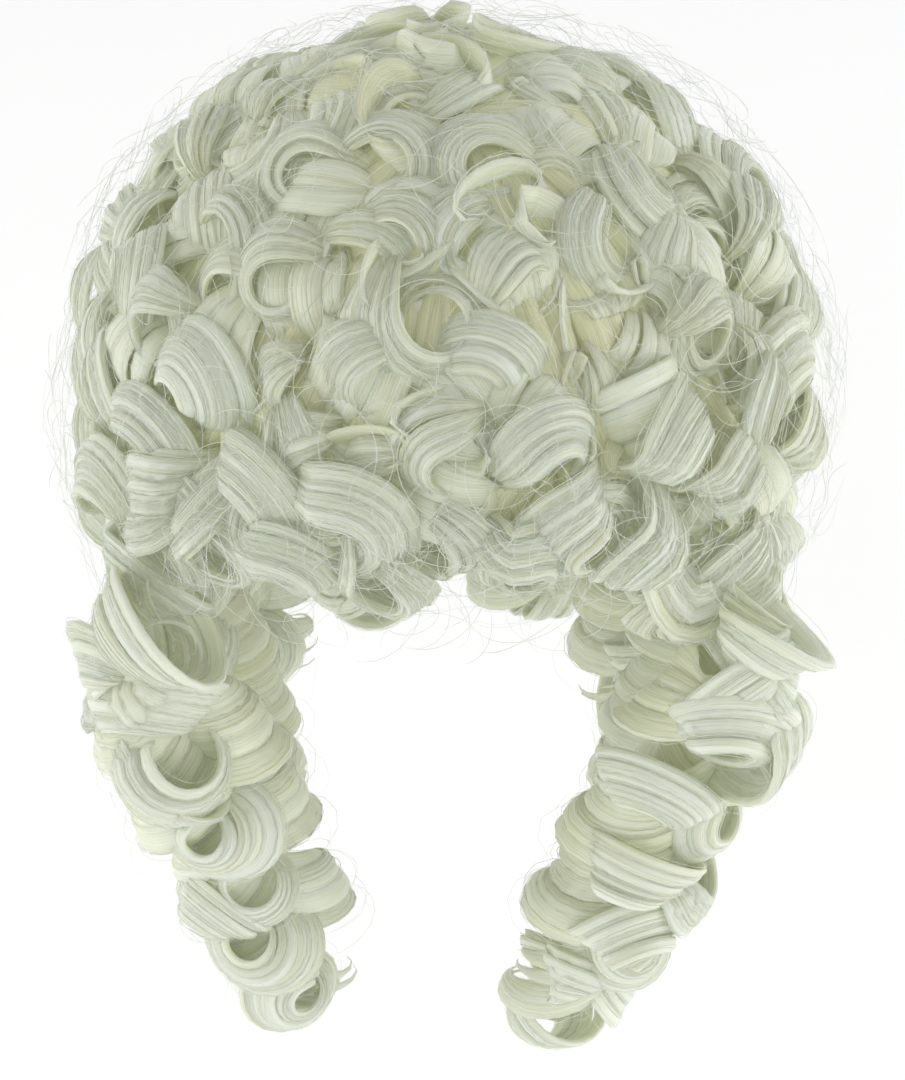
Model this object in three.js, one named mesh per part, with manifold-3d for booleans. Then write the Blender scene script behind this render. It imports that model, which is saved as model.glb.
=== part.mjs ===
// Costume wig: a curly, shoulder-length white wig on a wefted open cap.
//
// Frame: millimetres, +Z up, the wearer faces -Y, +X is on the viewer's right.
// The origin is the top of the inside of the cap, where the crown of a head touches it.
//
// Azimuth is measured from the front (0) over +X (90) to the back (180).
// Polar angle is measured from the crown (0) downwards; 90 is the widest ring of the head.

import * as THREE from 'three';
import Module from 'manifold-3d';

// ---------- driving dimensions ----------

const HEAD = { x: 76, front: 97, back: 95, z: 100 };      // inside of the cap, half sizes
const HAIR = { x: 119, front: 123, back: 111, z: 122 };   // outside of the curls on the cap
const HAIR_SQUARENESS = 2.15;                             // 2 would make an ellipsoid
const CENTRE_Z = -HEAD.z;

// Each layer's inner and outer offset from the inside of the cap.
const LABEL_LAYER = [-2.2, -1.7];
const STRAP_LAYER = [-3.2, -2.3];
const TRIM_LAYER = [-0.8, 0.1];
const NET_LAYER = [2.0, 2.8];
const STAY_LAYER = [3.5, 4.1];
const WEFT_LAYER = [3.6, 4.8];
const HAIR_START = 6.0;

// Lower edge of the cap: [azimuth, polar angle], the same on both sides.
const CAP_EDGE = [[0, 66], [40, 66], [62, 88.5], [100, 88.5], [128, 106], [155, 121], [180, 124]];

const HAIR_GAP = 1.2;             // half the angle left between neighbouring blocks of curls
const WEFT_HALF_WIDTH = 1.2;      // degrees
const ELASTIC_HALF_WIDTH = 3.5;   // degrees of azimuth
const EAR_TAB_AZIMUTH = 72;

const ADJUSTER = {
  strapHeight: 4,
  upperZ: -144.5,
  lowerZ: -152,
  loops: 4,
  pitch: 6,
  firstLoop: -1.5,   // x of the first loop, on the side that its strap comes from
  hookLength: 9,
};

const WHITE = { roughness: 0.45, metalness: 0 };

// ---------- materials ----------

const material = (color, extra = {}) => new THREE.MeshStandardMaterial({ color, ...WHITE, ...extra });

const curlMaterial = () => material(0xd9dfd0, { roughness: 0.4 });
const netMaterial = () => material(0xe9e6da, { roughness: 0.8 });
const bandMaterial = () => material(0xe4ded0, { roughness: 0.85 });
const elasticMaterial = () => material(0xefece2, { roughness: 0.7 });
const weftMaterial = () => material(0xd4d6c6, { roughness: 0.6 });
const stayMaterial = () => material(0xc9cdd0, { roughness: 0.3, metalness: 0.9 });
const hookMaterial = () => material(0xf2f1ea, { roughness: 0.35 });
const labelMaterial = () => material(0xf7f6f2, { roughness: 0.6 });

// ---------- surfaces ----------

// A point on a round surface about the head's centre; half holds its half sizes.
function roundPoint(half, azimuth, polar, offset, squareness) {
  const a = THREE.MathUtils.degToRad(azimuth);
  const p = THREE.MathUtils.degToRad(polar);
  const direction = [Math.sin(p) * Math.sin(a), -Math.sin(p) * Math.cos(a), Math.cos(p)];
  const sum = direction.reduce((total, part) => total + Math.abs(part) ** squareness, 0);
  const reach = 1 / sum ** (1 / squareness);
  const ySize = direction[1] < 0 ? half.front : half.back;
  return new THREE.Vector3(
    (half.x + offset) * direction[0] * reach,
    (ySize + offset) * direction[1] * reach,
    CENTRE_Z + (half.z + offset) * direction[2] * reach,
  );
}

const headPoint = (azimuth, polar, offset) => roundPoint(HEAD, azimuth, polar, offset, 2);
const hairPoint = (azimuth, polar) => roundPoint(HAIR, azimuth, polar, 0, HAIR_SQUARENESS);

// Polar angle of the cap's lower edge at an azimuth.
function capEdge(azimuth) {
  const turned = Math.abs(((azimuth + 540) % 360) - 180);
  const next = Math.max(1, CAP_EDGE.findIndex(([at]) => at >= turned));
  const [fromAt, from] = CAP_EDGE[next - 1];
  const [toAt, to] = CAP_EDGE[next];
  return THREE.MathUtils.lerp(from, to, THREE.MathUtils.smoothstep(turned, fromAt, toAt));
}

// A closed plate. surface(side, u, v) gives its points: side 0 is inside and 1 is outside,
// u runs round the head and v runs down from the crown.
function plateGeometry(surface, across, down, { ring = false, pole = false } = {}) {
  const columns = ring ? across : across + 1;
  const positions = [];
  const index = [];
  for (const side of [0, 1]) {
    for (let column = 0; column < columns; column += 1) {
      for (let row = 0; row <= down; row += 1) {
        positions.push(...surface(side, column / across, row / down).toArray());
      }
    }
  }
  const vertex = (side, column, row) => {
    const wrapped = pole && row === 0 ? 0 : column % columns;
    return (side * columns + wrapped) * (down + 1) + row;
  };
  const triangle = (a, b, c) => {
    if (a !== b && b !== c && c !== a) index.push(a, b, c);
  };
  const quad = (a, b, c, d) => {
    triangle(a, b, c);
    triangle(a, c, d);
  };
  for (let c = 0; c < across; c += 1) {
    for (let r = 0; r < down; r += 1) {
      quad(vertex(1, c, r), vertex(1, c, r + 1), vertex(1, c + 1, r + 1), vertex(1, c + 1, r));
      quad(vertex(0, c, r), vertex(0, c + 1, r), vertex(0, c + 1, r + 1), vertex(0, c, r + 1));
    }
    if (!pole) quad(vertex(1, c, 0), vertex(1, c + 1, 0), vertex(0, c + 1, 0), vertex(0, c, 0));
    quad(vertex(1, c + 1, down), vertex(1, c, down), vertex(0, c, down), vertex(0, c + 1, down));
  }
  for (let r = 0; r < down && !ring; r += 1) {
    quad(vertex(1, 0, r + 1), vertex(1, 0, r), vertex(0, 0, r), vertex(0, 0, r + 1));
    quad(
      vertex(1, across, r), vertex(1, across, r + 1), vertex(0, across, r + 1), vertex(0, across, r),
    );
  }
  const geometry = new THREE.BufferGeometry();
  geometry.setAttribute('position', new THREE.Float32BufferAttribute(positions, 3));
  geometry.setIndex(index);
  geometry.computeVertexNormals();
  return geometry;
}

// A plate that follows the head between two polar angles, which may change with the azimuth.
function headPlate([azimuthFrom, azimuthTo], polarAt, layer, across, down, options) {
  const surface = (side, u, v) => {
    const azimuth = THREE.MathUtils.lerp(azimuthFrom, azimuthTo, u);
    const [top, bottom] = polarAt(azimuth);
    return headPoint(azimuth, THREE.MathUtils.lerp(top, bottom, v), layer[side]);
  };
  return plateGeometry(surface, across, down, options);
}

// A block of curls between the cap and the outside of the wig.
function hairBlock([azimuthFrom, azimuthTo], [top, bottom], across, down, options) {
  const surface = (side, u, v) => {
    const azimuth = THREE.MathUtils.lerp(azimuthFrom, azimuthTo, u);
    const polar = THREE.MathUtils.lerp(top, bottom, v);
    return side ? hairPoint(azimuth, polar) : headPoint(azimuth, polar, HAIR_START);
  };
  return plateGeometry(surface, across, down, options);
}

// ---------- the scene graph ----------

const wig = new THREE.Group();

function addPiece(name, geometry, pieceMaterial, parent = wig) {
  const mesh = new THREE.Mesh(geometry, pieceMaterial);
  mesh.name = name;
  parent.add(mesh);
  return mesh;
}

// Runs make(side name, sign of x) for the left and the right of the picture.
function bothSides(make) {
  make('left', -1);
  make('right', 1);
}

// An azimuth range on one side; a right-hand range mirrors into a left-hand one.
const mirrored = (sign, [from, to]) => (sign > 0 ? [from, to] : [-to, -from]);

// ---------- cap ----------

function addCapNet() {
  const polarAt = (azimuth) => [0, capEdge(azimuth)];
  addPiece(
    'cap_net', headPlate([0, 360], polarAt, NET_LAYER, 36, 12, { ring: true, pole: true }), netMaterial(),
  );
}

function addCrownPatch() {
  const polarAt = () => [0, 20];
  addPiece(
    'crown_patch', headPlate([0, 360], polarAt, TRIM_LAYER, 20, 2, { ring: true, pole: true }), bandMaterial(),
  );
}

// The hairline band and the nape band lie inside the net, along its edge.
function addEdgeBands() {
  const bandHeight = 7;
  const napeHeight = 10;
  const edgeInset = 0.8;
  const alongEdge = (height) => (azimuth) => [capEdge(azimuth) - height, capEdge(azimuth) - edgeInset];
  addPiece(
    'front_band', headPlate([-108, 108], alongEdge(bandHeight), TRIM_LAYER, 30, 1), bandMaterial(),
  );
  addPiece(
    'nape_band', headPlate([111, 249], alongEdge(napeHeight), TRIM_LAYER, 18, 1), elasticMaterial(),
  );
}

// Three upright elastics carry the open rows of wefts between the crown and the nape.
function addBackElastics() {
  const azimuths = { right: 140, centre: 180, left: 220 };
  for (const [name, azimuth] of Object.entries(azimuths)) {
    const polarAt = () => [24, capEdge(azimuth) - 13];
    const range = [azimuth - ELASTIC_HALF_WIDTH, azimuth + ELASTIC_HALF_WIDTH];
    addPiece(`back_elastic_${name}`, headPlate(range, polarAt, TRIM_LAYER, 1, 9), elasticMaterial());
  }
}

// The azimuth behind the ear at which the cap comes low enough to hold a row.
function rowStart(polar) {
  const firstAzimuth = 62;
  const step = 2;
  let azimuth = firstAzimuth;
  while (capEdge(azimuth) < polar + 2 * WEFT_HALF_WIDTH) azimuth += step;
  return azimuth;
}

function addWefts() {
  const weft = (name, range, polar, across) => {
    const polarAt = () => [polar - WEFT_HALF_WIDTH, polar + WEFT_HALF_WIDTH];
    addPiece(name, headPlate(range, polarAt, WEFT_LAYER, across, 1), weftMaterial());
  };
  const frontRows = [34, 46, 58];
  frontRows.forEach((polar, i) => weft(`front_weft_${i + 1}`, [-54, 54], polar, 10));
  const backRows = [38, 48, 58, 68, 78, 88, 98, 108];
  backRows.forEach((polar, i) => {
    const start = rowStart(polar);
    const across = Math.ceil((360 - 2 * start) / 12);
    weft(`back_weft_${i + 1}`, [start, 360 - start], polar, across);
  });
}

function addCareLabel() {
  const polarAt = () => [100, 111];
  addPiece('care_label', headPlate([173, 187], polarAt, LABEL_LAYER, 2, 2), labelMaterial());
}

// ---------- ear tabs ----------

function addEarTabs() {
  bothSides((side, sign) => {
    const halfAt = (v) => THREE.MathUtils.lerp(7, 4.5, v);
    const tabTop = 89.6;
    const tabBottom = 108;
    const tab = (layer, narrow, top, bottom) => (face, u, v) => {
      const azimuth = sign * EAR_TAB_AZIMUTH + THREE.MathUtils.lerp(-1, 1, u) * halfAt(v) * narrow;
      return headPoint(azimuth, THREE.MathUtils.lerp(top, bottom, v), layer[face]);
    };
    addPiece(
      `ear_tab_${side}`, plateGeometry(tab(NET_LAYER, 1, tabTop, tabBottom), 2, 4), bandMaterial(),
    );
    addPiece(
      `ear_tab_stay_${side}`, plateGeometry(tab(STAY_LAYER, 0.25, 91, 106), 1, 4), stayMaterial(),
    );
  });
}

// ---------- adjusters at the nape ----------

const wasm = await Module();
wasm.setup();

// Turns a closed three.js geometry into a manifold solid.
function toSolid(geometry) {
  return new wasm.Manifold(new wasm.Mesh({
    numProp: 3,
    vertProperties: new Float32Array(geometry.attributes.position.array),
    triVerts: new Uint32Array(geometry.index.array),
  }));
}

function fromSolid(solid) {
  const { vertProperties, triVerts } = solid.getMesh();
  const geometry = new THREE.BufferGeometry();
  geometry.setAttribute('position', new THREE.BufferAttribute(vertProperties, 3));
  geometry.setIndex(new THREE.BufferAttribute(triVerts, 1));
  geometry.computeVertexNormals();
  return geometry;
}

// A box from its centre and size, with each corner stored once.
function boxGeometry(size, centre) {
  const half = new THREE.Vector3(...size).multiplyScalar(0.5);
  const middle = new THREE.Vector3(...centre);
  const corner = (side, u, v) => new THREE.Vector3(
    half.x * (2 * u - 1),
    half.y * (1 - 2 * side),
    half.z * (1 - 2 * v),
  ).add(middle);
  return plateGeometry(corner, 1, 1);
}

// y of the inside of the cap at the back, at a height and a distance from the middle.
function napeInsideY(x, z) {
  const polar = Math.acos((z - CENTRE_Z) / HEAD.z);
  const across = x / (HEAD.x * Math.sin(polar));
  return HEAD.back * Math.sin(polar) * Math.sqrt(1 - across * across);
}

function addAdjusters() {
  const { strapHeight, loops, pitch, firstLoop, hookLength } = ADJUSTER;
  const tapeThickness = 0.6;
  const tunnel = 2.0;
  const wall = 0.6;
  const tapeHeight = 7;
  const loopWidth = 2;
  const tunnelHeight = 5;
  bothSides((side, sign) => {
    const z = side === 'left' ? ADJUSTER.upperZ : ADJUSTER.lowerZ;
    const reach = firstLoop + loops * pitch - pitch / 2;
    const start = firstLoop - pitch / 2;
    const tapeY = napeInsideY(reach, z - tapeHeight / 2) - 1.8;
    const across = (x) => -sign * x;

    // Tape with a row of small bridges, whose tunnels run along X.
    const tapeMiddle = across((start + reach) / 2);
    let tape = toSolid(boxGeometry([reach - start, tapeThickness, tapeHeight], [tapeMiddle, tapeY, z]));
    for (let i = 0; i < loops; i += 1) {
      const x = across(firstLoop + i * pitch);
      const depth = tunnel + wall;
      const outer = boxGeometry([loopWidth, depth + tapeThickness, tunnelHeight + 2 * wall], [x, tapeY - depth / 2, z]);
      const insideY = tapeY - tapeThickness / 2 - tunnel / 2;
      const inner = boxGeometry([loopWidth * 2, tunnel, tunnelHeight], [x, insideY, z]);
      tape = tape.add(toSolid(outer).subtract(toSolid(inner)));
    }
    addPiece(`adjuster_loops_${side}`, fromSolid(tape), elasticMaterial());

    // Flat hook whose finger lies in the first loop.
    const hookY = tapeY - tapeThickness / 2 - tunnel / 2;
    const tip = firstLoop + loopWidth;
    const hook = boxGeometry([hookLength, 1.0, 3.4], [across(tip - hookLength / 2), hookY, z]);
    addPiece(`adjuster_hook_${side}`, hook, hookMaterial());

    // Elastic strap from the side of the nape to the hook.
    const polar = THREE.MathUtils.radToDeg(Math.acos((z - CENTRE_Z) / HEAD.z));
    const halfHeight = THREE.MathUtils.radToDeg(strapHeight / 2 / HEAD.back);
    const radius = HEAD.x * Math.sin(THREE.MathUtils.degToRad(polar));
    const strapEnd = THREE.MathUtils.radToDeg(Math.asin((hookLength - tip + 1) / radius));
    const strapStart = 44;
    const range = sign > 0 ? [180 - strapStart, 180 - strapEnd] : [180 + strapEnd, 180 + strapStart];
    const polarAt = () => [polar - halfHeight, polar + halfHeight];
    addPiece(`adjuster_strap_${side}`, headPlate(range, polarAt, STRAP_LAYER, 5, 1), elasticMaterial());
  });
}

// ---------- blocks of curls on the cap ----------

function addCapCurls() {
  const block = (name, [from, to], [top, bottom], across, down) => addPiece(
    name,
    hairBlock([from + HAIR_GAP, to - HAIR_GAP], [top + HAIR_GAP, bottom - HAIR_GAP], across, down),
    curlMaterial(),
  );
  addPiece(
    'crown_curls', hairBlock([0, 360], [0, 30 - HAIR_GAP], 20, 3, { ring: true, pole: true }), curlMaterial(),
  );
  block('top_curls_front', [-36, 36], [30, 60], 6, 3);
  block('fringe_curls_middle', [-13, 13], [60, 76], 2, 2);
  bothSides((side, sign) => {
    block(`top_curls_${side}`, mirrored(sign, [36, 108]), [30, 60], 6, 3);
    block(`top_curls_back_${side}`, mirrored(sign, [108, 180]), [30, 60], 6, 3);
    block(`fringe_curls_${side}`, mirrored(sign, [13, 38]), [60, 76], 2, 2);
    block(`temple_curls_${side}`, mirrored(sign, [38, 84]), [60, 98], 4, 4);
    block(`side_curls_${side}`, mirrored(sign, [84, 132]), [60, 96], 4, 3);
    block(`back_curls_${side}`, mirrored(sign, [132, 180]), [60, 96], 4, 3);
    block(`lower_side_curls_${side}`, mirrored(sign, [86, 132]), [96, 114], 4, 2);
    block(`nape_curls_${side}`, mirrored(sign, [132, 180]), [96, 118], 4, 2);
  });
}

// ---------- hanging locks ----------

// A round-ended sausage that hangs from top to bottom along a bowed middle line.
function lockGeometry({ top, bottom, from, to, half, bow }) {
  const levels = 12;
  const sides = 12;
  const domeShare = half[0] / (top - bottom);
  const taperFrom = 0.58;
  const roundEnd = (share) => Math.sqrt(Math.max(0, 1 - share * share));
  const profile = [];
  for (let i = 0; i <= levels; i += 1) {
    const t = (1 - Math.cos((Math.PI * i) / levels)) / 2;
    const dome = t < domeShare ? roundEnd(1 - t / domeShare) : 1;
    const taper = t > taperFrom ? roundEnd((t - taperFrom) / (1 - taperFrom)) : 1;
    profile.push(new THREE.Vector2(i === 0 || i === levels ? 0 : dome * taper, -t));
  }
  const geometry = new THREE.LatheGeometry(profile.reverse(), sides);
  geometry.rotateX(Math.PI / 2);
  const position = geometry.attributes.position;
  for (let i = 0; i < position.count; i += 1) {
    const t = -position.getZ(i);
    const middleX = THREE.MathUtils.lerp(from[0], to[0], t ** bow);
    const middleY = THREE.MathUtils.lerp(from[1], to[1], t);
    const z = THREE.MathUtils.lerp(top, bottom, t);
    position.setXYZ(i, middleX + half[0] * position.getX(i), middleY + half[1] * position.getY(i), z);
  }
  geometry.computeVertexNormals();
  return geometry;
}

function addHangingLocks() {
  const tipX = { left: 45, right: 33 };
  const frontBottom = { left: -300, right: -313 };
  bothSides((side, sign) => {
    const lock = (name, spec) => addPiece(
      `${name}_${side}`,
      lockGeometry({ ...spec, from: [sign * spec.from[0], spec.from[1]], to: [sign * spec.to[0], spec.to[1]] }),
      curlMaterial(),
    );
    lock('front_lock', {
      top: -121, bottom: frontBottom[side], from: [89, -90], to: [tipX[side], -96], half: [28, 31], bow: 0.85,
    });
    lock('side_lock', {
      top: -156, bottom: -290, from: [89, -27], to: [68, -32], half: [29, 28], bow: 1,
    });
    lock('rear_side_lock', {
      top: -156, bottom: -294, from: [84, 35], to: [64, 36], half: [29, 28], bow: 1,
    });
    lock('back_lock', {
      top: -166, bottom: -300, from: [33, 82], to: [30, 81], half: [28, 28], bow: 1,
    });
  });
}

// ---------- assembly ----------

addCapNet();
addCrownPatch();
addEdgeBands();
addBackElastics();
addWefts();
addCareLabel();
addEarTabs();
addAdjusters();
addCapCurls();
addHangingLocks();

export default wig;
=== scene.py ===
"""Costume wig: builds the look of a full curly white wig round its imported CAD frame.

Metres, +Z up, the wearer faces -Y. The origin is the top of the inside of the cap.
Azimuth is measured from the front (0) over +X (90) to the back (180), polar angle from the crown.
Each block of curls and each hanging lock of the frame is replaced by strands that are real
geometry: three-sided closed tubes laid round ridged cores, along coiled paths. The cap's net,
tapes, rows of stitches, ear tabs, label and adjusters lie inside.
"""

import math

import bpy
import numpy as np
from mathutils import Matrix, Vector


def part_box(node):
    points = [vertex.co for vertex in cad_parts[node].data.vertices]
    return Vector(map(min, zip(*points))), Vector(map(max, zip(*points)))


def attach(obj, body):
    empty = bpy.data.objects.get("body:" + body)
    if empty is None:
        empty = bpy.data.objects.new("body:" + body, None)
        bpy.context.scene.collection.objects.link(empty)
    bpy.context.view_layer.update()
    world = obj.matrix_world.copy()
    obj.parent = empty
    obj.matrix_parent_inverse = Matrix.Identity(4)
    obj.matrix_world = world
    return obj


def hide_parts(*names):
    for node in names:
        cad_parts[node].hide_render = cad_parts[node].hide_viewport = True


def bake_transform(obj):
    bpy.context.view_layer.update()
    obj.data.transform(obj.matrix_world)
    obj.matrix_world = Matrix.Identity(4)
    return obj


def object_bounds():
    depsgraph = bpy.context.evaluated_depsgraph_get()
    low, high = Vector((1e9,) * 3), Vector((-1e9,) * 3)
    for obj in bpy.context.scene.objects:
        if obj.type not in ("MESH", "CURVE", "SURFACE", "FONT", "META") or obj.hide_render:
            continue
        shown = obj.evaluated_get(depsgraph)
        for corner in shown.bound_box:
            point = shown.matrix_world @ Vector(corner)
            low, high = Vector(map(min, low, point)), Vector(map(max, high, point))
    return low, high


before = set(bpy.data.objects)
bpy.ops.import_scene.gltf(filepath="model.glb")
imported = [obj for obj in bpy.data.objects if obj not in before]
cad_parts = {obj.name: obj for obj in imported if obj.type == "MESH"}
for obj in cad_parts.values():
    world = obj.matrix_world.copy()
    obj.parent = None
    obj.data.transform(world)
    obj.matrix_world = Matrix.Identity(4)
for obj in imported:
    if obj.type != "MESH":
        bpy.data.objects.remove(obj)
CAD_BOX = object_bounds()

MM = 0.001
DETAIL = 1.0

# ---------- the frame's driving sizes, as in the CAD model ----------

HEAD = {"x": 76 * MM, "front": 97 * MM, "back": 95 * MM, "z": 100 * MM}
HAIR = {"x": 119 * MM, "front": 123 * MM, "back": 111 * MM, "z": 122 * MM}
HAIR_SQUARENESS = 2.15
CENTRE_Z = -HEAD["z"]
CAP_EDGE = [(0, 66), (40, 66), (62, 88.5), (100, 88.5), (128, 106), (155, 121), (180, 124)]
BASE_START = 6 * MM


# ---------- camera, floor and light ----------

CAMERA_ELEVATION = 44.0       # how high it stands over AIM, in degrees
CAMERA_DISTANCE = 0.80
CAMERA_PITCH = 48.1           # how far down it looks, in degrees
CAMERA_LENS = 86.67
AIM = (0.0017, 0.0, -0.080)


def make_camera():
    """A camera in front of and above the wig, looking down at it."""
    rise = math.radians(CAMERA_ELEVATION)
    place = Vector(AIM) + CAMERA_DISTANCE * Vector((0, -math.cos(rise), math.sin(rise)))
    data = bpy.data.cameras.new("camera")
    data.lens = CAMERA_LENS
    data.sensor_width = 36.0
    data.clip_start = 0.05
    camera = bpy.data.objects.new("camera", data)
    camera.location = place
    camera.rotation_euler = (math.radians(90 - CAMERA_PITCH), 0, 0)
    bpy.context.scene.collection.objects.link(camera)
    bpy.context.scene.camera = camera


make_camera()


def make_area_light(name, place, target, size, power):
    """A square soft light that faces its target."""
    data = bpy.data.lights.new(name, "AREA")
    data.energy = power
    data.size = size
    light = bpy.data.objects.new(name, data)
    light.location = place
    light.rotation_euler = (Vector(target) - Vector(place)).to_track_quat("-Z", "Y").to_euler()
    bpy.context.scene.collection.objects.link(light)


OVERHEAD_LIGHT = 0.1        # the surround's strength straight above, against 1 at the horizon
FLOOR_DROP = 100 * MM       # how far the floor lies below the CAD model
FLOOR_HALF = 3.0

# Soft lights: name, place, size, power.
LIGHTS = [
    ("key_light", (-0.5, -1.1, 1.4), 0.9, 3.5),
    ("left_light", (-1.4, -0.3, 0.3), 1.2, 5.5),
    ("right_light", (1.4, -0.3, 0.3), 1.2, 7),
    ("top_light", (0.1, 0.6, 1.4), 0.8, 2),
]


def make_studio():
    """A pale floor below the locks, a white surround that is dimmer above, and soft lights."""
    floor_z = CAD_BOX[0].z - FLOOR_DROP
    mesh = bpy.data.meshes.new("floor")
    quarters = ((-1, -1), (1, -1), (1, 1), (-1, 1))
    corners = [(x * FLOOR_HALF, y * FLOOR_HALF, floor_z) for x, y in quarters]
    mesh.from_pydata(corners, [], [(0, 1, 2, 3)])
    floor = bpy.data.objects.new("floor", mesh)
    bpy.context.scene.collection.objects.link(floor)
    material = bpy.data.materials.new("floor_paint")
    material.use_nodes = True
    shader = material.node_tree.nodes["Principled BSDF"]
    shader.inputs["Base Color"].default_value = (0.92, 0.92, 0.92, 1)
    shader.inputs["Roughness"].default_value = 0.9
    shader.inputs["Emission Color"].default_value = (1, 1, 1, 1)
    shader.inputs["Emission Strength"].default_value = 0.4
    mesh.materials.append(material)
    world = bpy.data.worlds.new("studio")
    world.use_nodes = True
    tree = world.node_tree
    height = tree.nodes.new("ShaderNodeSeparateXYZ")
    tree.links.new(tree.nodes.new("ShaderNodeTexCoord").outputs["Generated"], height.inputs[0])
    fall = tree.nodes.new("ShaderNodeMapRange")
    fall.inputs["From Min"].default_value = 0.25
    fall.inputs["From Max"].default_value = 0.85
    fall.inputs["To Min"].default_value = 1.0
    fall.inputs["To Max"].default_value = OVERHEAD_LIGHT
    tree.links.new(height.outputs["Z"], fall.inputs["Value"])
    tree.links.new(fall.outputs[0], tree.nodes["Background"].inputs["Strength"])
    tree.nodes["Background"].inputs["Color"].default_value = (1.0, 1.0, 1.0, 1)
    bpy.context.scene.world = world
    middle = (0, 0, -0.12)
    for name, place, size, power in LIGHTS:
        make_area_light(name, place, middle, size, power)


make_studio()
bpy.context.scene.view_settings.view_transform = "Standard"


# ---------- surfaces ----------

def unit(vectors):
    return vectors / np.maximum(np.linalg.norm(vectors, axis=-1, keepdims=True), 1e-12)


def round_points(half, azimuth, polar, offset=0.0, squareness=2.0):
    """Points of a round surface about the head's centre, at angles in degrees."""
    a, p = np.broadcast_arrays(np.radians(azimuth), np.radians(polar))
    direction = np.stack([np.sin(p) * np.sin(a), -np.sin(p) * np.cos(a), np.cos(p)], -1)
    reach = (np.abs(direction) ** squareness).sum(-1) ** (-1 / squareness)
    y_size = np.where(direction[..., 1] < 0, half["front"], half["back"])
    size = np.stack([np.full_like(y_size, half["x"]), y_size, np.full_like(y_size, half["z"])], -1)
    size = size + np.asarray(offset)[..., None]
    return direction * reach[..., None] * size + np.array([0, 0, CENTRE_Z])


def head_points(azimuth, polar, offset=0.0):
    return round_points(HEAD, azimuth, polar, offset)


def hair_points(azimuth, polar, offset=0.0):
    return round_points(HAIR, azimuth, polar, offset, HAIR_SQUARENESS)


def hair_frame(azimuth, polar):
    """A point on the outside of the hair, with its outward, downward and sideways directions."""
    step = 0.5
    point = hair_points(azimuth, polar)
    down = unit(hair_points(azimuth, polar + step) - hair_points(azimuth, polar - step))
    side = unit(hair_points(azimuth + step, max(polar, 2)) - hair_points(azimuth - step, max(polar, 2)))
    out = unit(np.cross(down, side))
    return point, out, down, unit(np.cross(out, down))


# ---------- hair meshes ----------

def cap_edge(azimuth):
    """The polar angle of the cap's edge, eased between its driving points."""
    a = np.abs((np.asarray(azimuth) + 180) % 360 - 180)
    edge = np.full(np.shape(a), float(CAP_EDGE[0][1]))
    for (a0, p0), (a1, p1) in zip(CAP_EDGE, CAP_EDGE[1:]):
        if a1 > a0:
            edge = np.where((a >= a0) & (a <= a1), p0 + (p1 - p0) * smooth_step((a - a0) / (a1 - a0)), edge)
    return edge


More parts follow.
